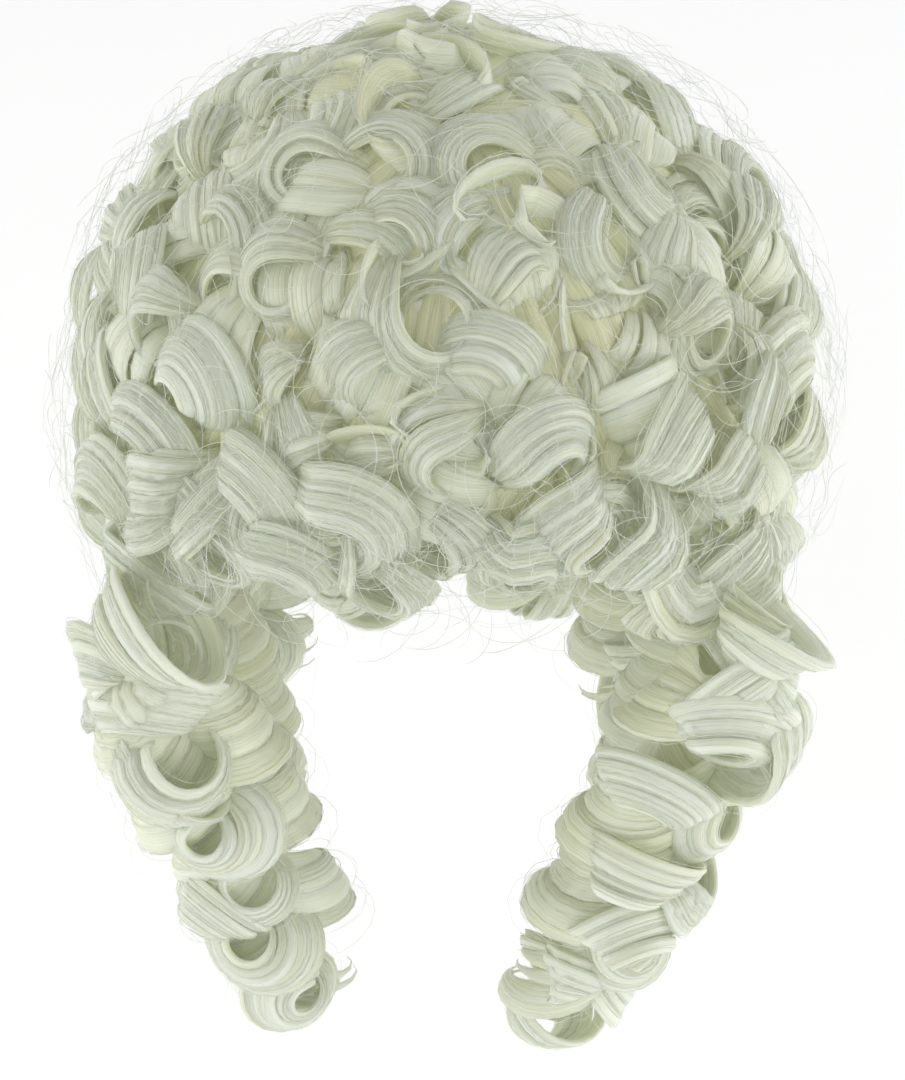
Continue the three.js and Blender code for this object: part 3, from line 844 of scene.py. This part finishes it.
def add_ringlet(hair, rng, middle, coil, thick, wide, turns, hand, start, tone):
    """A lock wound round a hanging middle line. middle is (steps, 3) and coil its radius along it."""
    steps = int(turns * 14) + 8
    middle = even_steps(middle, steps)
    s = np.linspace(0, 1, steps)
    coil = np.interp(s, np.linspace(0, 1, len(coil)), coil)
    theta = math.radians(start) + hand * 2 * math.pi * turns * (s + 0.03 * np.sin(9 * s + start))
    along = unit(np.gradient(middle, axis=0))
    u = unit(np.cross(along, np.array([0, 1.0, 0])))
    v = np.cross(along, u)
    spoke = np.cos(theta)[:, None] * u + np.sin(theta)[:, None] * v
    path = middle + (coil * (0.25 + 0.75 * smooth_step(s / 0.15)))[:, None] * spoke
    size = (0.3 + 0.7 * smooth_step(s / 0.15)) * (1 - 0.4 * smooth_step((s - 0.85) / 0.15))
    forward = unit(np.gradient(path, axis=0))
    band_way = unit(along - (along * forward).sum(-1, keepdims=True) * forward)
    face_way = np.cross(band_way, forward)
    face_way = face_way * np.sign((face_way * spoke).sum(-1, keepdims=True))
    flare = math.radians(12)
    turned_face = math.cos(flare) * face_way - math.sin(flare) * band_way
    turned_band = math.cos(flare) * band_way + math.sin(flare) * face_way
    # Painted shade: the depth rises from 0.55 at the ringlet's top to 1 at its end, so its upper part is
    # painted darker and warmer.
    add_lock(hair, rng, path, turned_face, turned_band, thick * size, wide * size, tone,
             np.clip(0.55 + 0.45 * s, 0, 1), wisps=4, strands=24, loose=8)


def lock_place(middle, half, height, heading):
    """A place on the outside of a hanging lock, like hair_frame's, at a height and compass heading."""
    turn = math.radians(heading)
    out = np.array([math.sin(turn), -math.cos(turn), 0.0])
    z = middle[:, 2]
    centre = np.array([np.interp(-height, -z, middle[:, k]) for k in (0, 1)] + [height])
    reach = np.array([np.interp(-height, -z, half[:, k]) for k in (0, 1)])
    point = centre + out * np.append(reach, 0)
    down = np.array([0.0, 0.0, -1.0])
    return (point, out, down, np.cross(out, down)), centre


LOCK_CURL_LEVELS = np.linspace(-0.04, 0.94, 13)
LOCK_HALF = 16 * MM           # a lock is at least this wide from its middle
RINGLETS = 2                  # inside each lock
RINGLET_COIL = 11.5 * MM

# Large curls that stand out of a hanging lock:
# level from its top as a share, heading, ring radius, half width, tilt, lean, sink.
EXTRA_CURLS = {
    "front_lock_right": [(0.16, 62, 16, 12, 62, 80, -6), (0.05, 30, 15, 10, 25, 20, -4)],
    "front_lock_left": [(0.06, -35, 16, 10, 25, 20, -4), (0.2, -70, 14, 9, 30, -20, -4)],
}


def make_lock(node, seed):
    """A hanging lock: two ringlets inside and ring curls round them."""
    rng = np.random.default_rng(seed)
    rows = lock_line(node)
    hair = Strands()
    steps = 24
    z = np.linspace(rows[0, 2] + 14 * MM, rows[-1, 2] + 5 * MM, steps)
    middle = np.stack([np.interp(-z, -rows[:, 2], rows[:, k]) for k in (0, 1)] + [z], 1)
    half = np.stack([np.interp(-z, -rows[:, 2], rows[:, k]) for k in (3, 4)], 1)
    half = np.maximum(half, LOCK_HALF)
    for i in range(RINGLETS):
        turn = math.radians(30 + 360 * i / RINGLETS + rng.uniform(-12, 12))
        line = middle.copy()
        line[:, :2] += np.array([math.cos(turn), math.sin(turn)]) * half * 0.34
        line = shorten(line[None], rng.uniform(0.94, 1.0, 1))[0]
        coil = RINGLET_COIL * (0.8 + 0.3 * np.sin(np.linspace(0.2, 2.9, steps)))
        add_ringlet(hair, rng, line, coil, 4.5 * MM, 14 * MM, rng.uniform(4.0, 4.8),
                    1 if i % 2 else -1, rng.uniform(0, 360), rng.uniform(0.46, 0.56))
    outward = math.degrees(math.atan2(middle[0, 0], -middle[0, 1]))
    length = z[0] - z[-1]
    for i, share in enumerate(LOCK_CURL_LEVELS):
        heading = outward * 0.7 + (1 if i % 2 else -1) * rng.uniform(15, 85)
        place, root = lock_place(middle, half, z[0] - share * length, heading)
        add_ring(
            hair, rng, place,
            radius=rng.uniform(12.5, 17) * (1 - 0.22 * share) * MM,
            thick=3.2 * MM,
            wide=rng.uniform(8.5, 12) * MM,
            tilt=rng.uniform(15, 70),
            lean=rng.uniform(-40, 60) + 180 * (i % 2),
            start=rng.uniform(150, 290),
            turns=rng.uniform(1.2, 1.5),
            hand=1 if i % 2 else -1,
            sink=-2 * MM,
            strands=34, loose=6, tone=rng.uniform(0.48, 0.58), root=root,
        )
    for share, heading, radius, wide, tilt, lean, sink in EXTRA_CURLS.get(node, ()):
        place, root = lock_place(middle, half, z[0] - share * length, heading)
        add_ring(hair, rng, place, radius * MM, 3.4 * MM, wide * MM, tilt, lean, 200, 1.4, 1,
                 sink=sink * MM, strands=50, loose=10, tone=0.55, root=root)
    piece = hair.make(node + "_strands", None, [node], HAIR_MATERIAL)
    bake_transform(piece)


for number, name in enumerate(("front_lock", "side_lock", "rear_side_lock", "back_lock")):
    for twin, hand in enumerate(("left", "right")):
        make_lock(f"{name}_{hand}", 100 + 10 * number + twin)


# ---------- the cap's inside ----------

NET = (2.0, 2.8)
TRIM = (-0.8, 0.1)
STRAP = (-3.2, -2.3)
LABEL = (-2.2, -1.7)
WEFT = (3.6, 4.8)
ADJUSTER = {"strap_height": 4, "loops": 4, "pitch": 6, "first_loop": -1.5}
STRAP_END = 44                # the strap's sewn end, in degrees from the back
WEFT_HALF = 1.2               # in degrees
FRONT_ROWS = (34, 46, 58)
BACK_ROWS = range(38, 109, 10)


def fabric_material(name, colour, roughness, ribs, depth, contrast=0.12):
    """A woven surface: ribs is how many threads there are per metre across and along the cloth."""
    material, tree, shader = new_material(name, roughness)
    place = add_node(tree, "ShaderNodeAttribute", attribute_name="fibre").outputs["Vector"]
    heights = []
    for direction, count in zip("XY", ribs):
        wave = add_node(tree, "ShaderNodeTexWave", wave_type="BANDS", bands_direction=direction)
        wave.inputs["Scale"].default_value = count / 10 * math.pi / 2
        wave.inputs["Distortion"].default_value = 0.6
        tree.links.new(place, wave.inputs["Vector"])
        heights.append(wave.outputs["Fac"])
    both = add_node(tree, "ShaderNodeMath", operation="MULTIPLY")
    tree.links.new(heights[0], both.inputs[0])
    tree.links.new(heights[1], both.inputs[1])
    fuzz = add_node(tree, "ShaderNodeTexNoise")
    fuzz.inputs["Scale"].default_value = 900
    tree.links.new(place, fuzz.inputs["Vector"])
    height = add_node(tree, "ShaderNodeMath", operation="MULTIPLY_ADD")
    height.inputs[1].default_value = 0.35
    tree.links.new(fuzz.outputs["Fac"], height.inputs[0])
    tree.links.new(both.outputs[0], height.inputs[2])
    # Painted shade: the colour darkens where the weave's height is low, in the grooves between threads,
    # along with random fuzz mottling.
    groove_shade = tuple(c * (1 - 2 * contrast) for c in colour)
    tint = colour_ramp(tree, height.outputs[0], [(0.1, groove_shade), (0.7, colour)])
    tree.links.new(tint, shader.inputs["Base Color"])
    bump = add_node(tree, "ShaderNodeBump")
    bump.inputs["Strength"].default_value = 0.7
    bump.inputs["Distance"].default_value = depth
    tree.links.new(height.outputs[0], bump.inputs["Height"])
    tree.links.new(bump.outputs[0], shader.inputs["Normal"])
    return material


def hard_material(name, colour, roughness, metallic):
    """Metal or moulded plastic with fine mottling in its colour and gloss."""
    material, tree, shader = new_material(name, roughness)
    shader.inputs["Metallic"].default_value = metallic
    place = add_node(tree, "ShaderNodeTexCoord").outputs["Object"]
    noise = add_node(tree, "ShaderNodeTexNoise")
    noise.inputs["Scale"].default_value = 420
    noise.inputs["Detail"].default_value = 4
    tree.links.new(place, noise.inputs["Vector"])
    worn = tuple(c * 0.82 for c in colour)
    tint = colour_ramp(tree, noise.outputs["Fac"], [(0.3, worn), (0.65, colour)])
    tree.links.new(tint, shader.inputs["Base Color"])
    gloss = add_node(tree, "ShaderNodeMapRange")
    gloss.inputs["To Min"].default_value = roughness - 0.08
    gloss.inputs["To Max"].default_value = roughness + 0.12
    tree.links.new(noise.outputs["Fac"], gloss.inputs["Value"])
    tree.links.new(gloss.outputs[0], shader.inputs["Roughness"])
    return material


NET_MATERIAL = fabric_material("net_thread", (0.74, 0.71, 0.62), 0.5, (3000, 3000), 0.05 * MM)
BAND_MATERIAL = fabric_material("woven_band", (0.72, 0.69, 0.60), 0.75, (1400, 1400), 0.12 * MM)
ELASTIC_MATERIAL = fabric_material("ribbed_elastic", (0.76, 0.74, 0.68), 0.7, (900, 2200), 0.15 * MM)
WEFT_MATERIAL = fabric_material("weft_tape", (0.70, 0.68, 0.56), 0.6, (1800, 1200), 0.10 * MM)
LABEL_MATERIAL = fabric_material("satin_label", (0.82, 0.81, 0.78), 0.4, (3500, 2500), 0.04 * MM, 0.05)
THREAD_MATERIAL = fabric_material("sewing_thread", (0.80, 0.78, 0.70), 0.45, (4000, 4000), 0.05 * MM)
STAY_MATERIAL = hard_material("spring_steel", (0.62, 0.62, 0.60), 0.34, 1.0)
HOOK_MATERIAL = hard_material("moulded_hook", (0.80, 0.79, 0.74), 0.38, 0.0)


class Cloth(Strands):
    """A mesh of thin plates and sewing on them."""

    off_head = -20 * MM

    def add_plate(self, surface, size, steps, layer, relief=0.0, ring=False):
        """A closed plate. surface(u, v, offset) gives its points and size its width and height.

        Its edges are rounded, and relief is how far its face waves in and out.
        """
        nu, nv = steps
        u, v = np.meshgrid(np.linspace(0, 1, nu), np.linspace(0, 1, nv), indexing="ij")
        inner, outer = layer
        middle, half = (inner + outer) / 2, (outer - inner) / 2
        edge = np.minimum(v, 1 - v) * size[1]
        if not ring:
            edge = np.minimum(edge, np.minimum(u, 1 - u) * size[0])
        rounded = np.sqrt(np.clip(1 - (1 - np.clip(edge / half, 0, 1)) ** 2, 0.04, 1))
        wave = relief * np.sin(u * size[0] / (1.7 * MM)) * np.sin(v * 3.1)
        faces = [surface(u, v, middle + sign * half * rounded + wave) for sign in (1, -1)]
        place = np.stack([u * size[0], v * size[1], np.zeros_like(u)], -1)
        loop = range(nu) if ring else range(nu - 1)
        index = np.arange(2 * nu * nv).reshape(2, nu, nv) + self.count
        quads = []
        for i in loop:
            j = (i + 1) % nu
            top, low = index[0], index[1]
            quads.append(np.stack([top[i, :-1], top[j, :-1], top[j, 1:], top[i, 1:]], -1))
            quads.append(np.stack([low[i, :-1], low[i, 1:], low[j, 1:], low[j, :-1]], -1))
            quads.append(np.array([[top[i, 0], low[i, 0], low[j, 0], top[j, 0]]]))
            quads.append(np.array([[top[i, -1], top[j, -1], low[j, -1], low[i, -1]]]))
        if not ring:
            for i, flip in ((0, 1), (nu - 1, -1)):
                top, low = index[0][i], index[1][i]
                side = np.stack([top[:-1], top[1:], low[1:], low[:-1]], -1)
                quads.append(side[:, ::flip])
        quads = np.concatenate(quads)
        self.faces.append(quads)
        self.points.append(np.concatenate([f.reshape(-1, 3) for f in faces]))
        self.fibre.append(np.tile(place.reshape(-1, 3), (2, 1)))
        self.tone.append(np.full(2 * nu * nv, 0.5))
        self.depth.append(np.full(2 * nu * nv, 0.5))
        self.count += 2 * nu * nv
        self.triangles += 2 * len(quads)

    def add_cord(self, path, radius, sides=6):
        """A closed round thread along a path, thinned at its ends."""
        path = np.asarray(path)
        along = unit(np.gradient(path, axis=0))
        guide = np.where(np.abs(along[:, 2:3]) < 0.9, [[0, 0, 1.0]], [[1.0, 0, 0]])
        u = unit(np.cross(along, guide))
        v = np.cross(along, u)
        angle = np.arange(sides) * 2 * math.pi / sides
        spoke = u[:, None] * np.cos(angle)[:, None] + v[:, None] * np.sin(angle)[:, None]
        ends = np.clip(np.minimum(np.arange(len(path)), np.arange(len(path))[::-1]) * 0.5 + 0.5, 0, 1)
        rings = path[:, None] + radius * ends[:, None, None] * spoke
        fibre = np.zeros((1, len(path), sides, 3))
        fibre[..., 1] = lengths_along(path)[:, None]
        self.add_rings(rings[None], 0.5, 0.5, fibre)


def finish_cloth(cloth, name, material, body="cap", nodes=None):
    """Makes a cloth piece on the body, or free of any body where the caller gives none."""
    piece = cloth.make(name, body, nodes or [], material)
    return piece


def head_span(azimuths, polar_at):
    """A plate's surface over the head and its width and height."""
    a0, a1 = azimuths
    middle = (a0 + a1) / 2

    def surface(u, v, offset):
        azimuth = a0 + (a1 - a0) * u
        low, high = polar_at(azimuth)
        return head_points(azimuth, low + (high - low) * v, offset)

    low, high = polar_at(middle)
    across = head_points(np.linspace(a0, a1, 60), (low + high) / 2)
    down = head_points(middle, np.linspace(low, high, 12))
    size = [np.linalg.norm(np.diff(line, axis=0), axis=1).sum() for line in (across, down)]
    return surface, size


def stitch_row(cloth, surface, width, v, offset, stitch=2.4 * MM, zigzag=0.0):
    """A row of stitches along u at a height v, straight or zigzag, lying on the surface."""
    count = max(2, int(width / (stitch * 1.35)))
    gap = 0.13 / count
    for k in range(count):
        u = np.linspace(k / count + gap, (k + 1) / count - gap, 4)
        sway = zigzag * (1 if k % 2 else -1) * np.linspace(-1, 1, 4)
        lift = 0.12 * MM * np.array([-1.2, 1, 1, -1.2])
        cloth.add_cord(surface(u, v + sway, offset + lift * np.sign(offset + 1e-9)), 0.17 * MM, 5)


def level_row(polar, half):
    """The lower and upper polar angle of a row that keeps one height all round."""
    return lambda azimuth: (polar - half + 0 * azimuth, polar + half + 0 * azimuth)


def edge_row(height):
    """The lower and upper polar angle of a tape along the cap's edge."""
    return lambda azimuth: (cap_edge(azimuth) - height, cap_edge(azimuth) - 0.8)


def make_band(name, azimuths, polar_at, layer, material, steps,
              rows=(0.12, 0.88), relief=0.0, zigzag=0.0):
    """A sewn tape on the cap that replaces the node of its name."""
    layer = (layer[0] * MM, layer[1] * MM)
    surface, size = head_span(azimuths, polar_at)
    tape = Cloth()
    tape.add_plate(surface, size, steps, layer, relief)
    finish_cloth(tape, name + "_tape", material, nodes=[name])
    sewing = Cloth()
    face = layer[0] if abs(layer[0]) > abs(layer[1]) or layer[0] < 0 else layer[1]
    for v in rows:
        stitch_row(sewing, surface, size[0], v, face, zigzag=zigzag)
    finish_cloth(sewing, name + "_stitches", THREAD_MATERIAL)


def make_net():
    """The stretch net: two families of threads that cross at one angle all over the head."""
    net = Cloth()
    threads = 150
    slope = 0.62
    polar = np.linspace(15, 124, 240)
    rise = slope * np.degrees(np.log(np.tan(np.radians(polar / 2))))
    for hand in (-1, 1):
        lines = []
        for k in range(threads):
            azimuth = 360 * k / threads + hand * rise
            inside = polar <= cap_edge(azimuth) - 0.6
            last = len(polar) if inside.all() else int(np.argmin(inside))
            line = head_points(azimuth[:last], polar[:last], (2.4 + 0.14 * hand) * MM)
            lines.append(even_steps(line, 46))
        lines = np.stack(lines)
        out = unit(lines - np.array([0, 0, CENTRE_Z]))
        half = np.full(lines.shape[:2], 0.24 * MM)
        net.add_strands(lines, out, half, np.full((threads, 1), 0.5), np.full((1, 46), 0.5))
    finish_cloth(net, "cap_net_threads", NET_MATERIAL, nodes=["cap_net"])


def make_crown_patch():
    """The round lining under the crown, with a doubled and stitched rim."""
    patch = Cloth()

    def surface(u, v, offset):
        return head_points(360 * u, 0.6 + 19.2 * v, offset)

    patch.add_plate(surface, (0.19, 0.034), (96, 22), (TRIM[0] * MM, TRIM[1] * MM), 0.08 * MM, ring=True)
    finish_cloth(patch, "crown_patch_lining", BAND_MATERIAL, nodes=["crown_patch"])
    sewing = Cloth()
    for v in (0.84, 0.94):
        stitch_row(sewing, surface, 0.19 * v, v, TRIM[0] * MM)
    finish_cloth(sewing, "crown_patch_stitches", THREAD_MATERIAL)


def make_bands():
    """The tapes along the cap's edge and the upright elastics at the back."""
    make_band("front_band", (-108, 108), edge_row(7), TRIM, BAND_MATERIAL, (180, 9),
              relief=0.08 * MM)
    make_band("nape_band", (111, 249), edge_row(10), TRIM, ELASTIC_MATERIAL, (180, 11),
              relief=0.20 * MM, zigzag=0.06)
    for name, azimuth in (("right", 140), ("centre", 180), ("left", 220)):
        top, end = 24, cap_edge(azimuth) - 13
        upright = level_row((top + end) / 2, (end - top) / 2)
        make_band(f"back_elastic_{name}", (azimuth - 3.5, azimuth + 3.5), upright, TRIM,
                  ELASTIC_MATERIAL, (9, 110), rows=(0.015, 0.985), relief=0.1 * MM)


def make_weft(name, azimuths, polar, across):
    """One sewn row that holds the hair."""
    make_band(name, azimuths, level_row(polar, WEFT_HALF), WEFT, WEFT_MATERIAL, (across, 5),
              rows=(0.5,), relief=0.05 * MM, zigzag=0.3)


def make_wefts():
    """The rows of the front and of the back."""
    for i, polar in enumerate(FRONT_ROWS, 1):
        make_weft(f"front_weft_{i}", (-54, 54), polar, 90)
    for i, polar in enumerate(BACK_ROWS, 1):
        start = weft_start(polar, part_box(f"back_weft_{i}")[0].y)
        make_weft(f"back_weft_{i}", (start, 360 - start), polar, 120)


def weft_start(polar, front_y):
    """The azimuth at which a row begins, from how far forwards its CAD solid reaches."""
    azimuth = np.linspace(40, 178, 300)
    y = head_points(azimuth, polar, WEFT[1] * MM)[:, 1]
    return float(azimuth[np.argmin(np.abs(y - front_y))])


def make_label():
    """The blank satin label, sewn on along its upper edge."""
    label = Cloth()
    surface, size = head_span((173, 187), level_row(105.5, 5.5))
    label.add_plate(surface, size, (20, 20), (LABEL[0] * MM, LABEL[1] * MM), 0.02 * MM)
    piece = finish_cloth(label, "care_label_satin", LABEL_MATERIAL, nodes=["care_label"])
    tuple(size)
    sewing = Cloth()
    stitch_row(sewing, surface, size[0], 0.08, LABEL[0] * MM, stitch=1.6 * MM)
    finish_cloth(sewing, "care_label_stitches", THREAD_MATERIAL)


def make_ear_tabs():
    """The cloth tabs in front of the ears, which fold on their stays."""
    for side, sign in (("left", -1), ("right", 1)):
        def surface(u, v, offset, sign=sign):
            half = 7 + (4.5 - 7) * v
            corner = np.clip((v - 0.8) / 0.2, 0, 1)
            half = half * np.sqrt(1 - 0.55 * corner ** 2)
            return head_points(sign * 72 + (2 * u - 1) * half, 89.6 + 18.4 * v, offset)
        tab = Cloth()
        tab.add_plate(surface, (0.017, 0.030), (18, 28), (NET[0] * MM, NET[1] * MM), 0.03 * MM)
        body = f"ear_tab_{side}"
        finish_cloth(tab, f"ear_tab_{side}_cloth", BAND_MATERIAL, body, [f"ear_tab_{side}"])
        sewing = Cloth()
        for column in (0.1, 0.3, 0.7, 0.9):
            def along(v, _, offset, column=column):
                return surface(np.full_like(v, column), 0.04 + 0.92 * v, offset)
            stitch_row(sewing, along, 0.028, 0, NET[0] * MM)
        finish_cloth(sewing, f"ear_tab_{side}_stitches", THREAD_MATERIAL, body)


def make_adjusters():
    """Loops, a hook and an elastic strap on each side of the nape."""
    for side, sign in (("left", -1), ("right", 1)):
        low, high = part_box(f"adjuster_hook_{side}")
        z = (low.z + high.z) / 2
        make_hook(side, low, high)
        make_loops(side, z)
        make_strap(side, sign, z)


def make_hook(side, low, high):
    """A moulded hook: a round-cornered frame for the strap and a flat finger for the loops."""
    hook = Cloth()
    y = (low.y + high.y) / 2
    z = (low.z + high.z) / 2
    outer, inner = (high.x, low.x) if side == "right" else (low.x, high.x)
    towards = 1 if outer > inner else -1
    half = (high.z - low.z) / 2 - 0.5 * MM
    angle = np.linspace(0, 2 * math.pi, 41)
    squareness = 4
    reach = (np.abs(np.cos(angle)) ** squareness + np.abs(np.sin(angle)) ** squareness) ** (-1 / squareness)
    frame_x = outer - towards * 2.0 * MM + 1.5 * MM * reach * np.cos(angle)
    frame_z = z + half * reach * np.sin(angle)
    hook.add_cord(np.stack([frame_x, np.full(41, y), frame_z], 1), 0.48 * MM, 8)
    length = abs(outer - inner) - 3.6 * MM
    t = np.linspace(0, 1, 16)
    for offset in (-0.62, 0.0, 0.62):
        x = outer - towards * (3.2 * MM + t * (length - abs(offset) * 0.8 * MM))
        path = np.stack([x, np.full(16, y), np.full(16, z + offset * MM)], 1)
        hook.add_cord(path, 0.45 * MM, 8)
    finish_cloth(hook, f"adjuster_hook_{side}_moulding", HOOK_MATERIAL, f"adjuster_hook_{side}",
                 [f"adjuster_hook_{side}"])


def make_loops(side, z):
    """A tape with a row of arched loops that the hook's finger slides through."""
    low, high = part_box(f"adjuster_loops_{side}")
    loops = Cloth()
    back = high.y - 0.3 * MM

    def tape(u, v, offset):
        return np.stack([low.x + (high.x - low.x) * u, back + offset, low.z + (high.z - low.z) * v], -1)

    loops.add_plate(tape, (high.x - low.x, high.z - low.z), (60, 12), (-0.28 * MM, 0.28 * MM), 0.03 * MM)
    depth = back - low.y
    pitch = ADJUSTER["pitch"] * MM
    count = ADJUSTER["loops"]
    sign = 1 if side == "right" else -1
    first = sign * -ADJUSTER["first_loop"] * MM
    for k in range(count):
        x = first - sign * k * pitch
        for strand in (-0.7, -0.23, 0.23, 0.7):
            angle = np.linspace(0, math.pi, 22)
            y = back - 0.1 * MM - (depth - 0.5 * MM) * np.sin(angle) ** 0.45
            across = z + 2.95 * MM * np.cos(angle)
            loops.add_cord(np.stack([np.full(22, x + strand * MM), y, across], 1), 0.26 * MM, 6)
    finish_cloth(loops, f"adjuster_loops_{side}_tape", ELASTIC_MATERIAL, "cap",
                 [f"adjuster_loops_{side}"])


def make_strap(side, sign, z):
    """The elastic strap: it stretches between the side of the nape and its hook."""
    polar = math.degrees(math.acos((z - CENTRE_Z) / HEAD["z"]))
    half = math.degrees(ADJUSTER["strap_height"] / 2 * MM / HEAD["back"])
    low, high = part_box(f"adjuster_strap_{side}")
    near = min(abs(low.x), abs(high.x)) + 0.5 * MM
    radius = HEAD["x"] * math.sin(math.radians(polar))
    angles = sorted([180 - sign * math.degrees(math.asin(near / radius)), 180 - sign * STRAP_END])
    surface, size = head_span(angles, level_row(polar, half))
    strap = Cloth()
    strap.add_plate(surface, size, (120, 8), (STRAP[0] * MM, STRAP[1] * MM), 0.10 * MM)
    piece = finish_cloth(strap, f"adjuster_strap_{side}_elastic", ELASTIC_MATERIAL, None,
                         [f"adjuster_strap_{side}"])
    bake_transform(piece)


def finish_carried_nodes():
    """Gives the CAD nodes that stay their materials."""
    for side in ("left", "right"):
        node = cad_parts[f"ear_tab_stay_{side}"]
        node.data.materials.clear()
        node.data.materials.append(STAY_MATERIAL)


make_net()
make_crown_patch()
make_bands()
make_wefts()
make_label()
make_ear_tabs()
make_adjusters()
finish_carried_nodes()
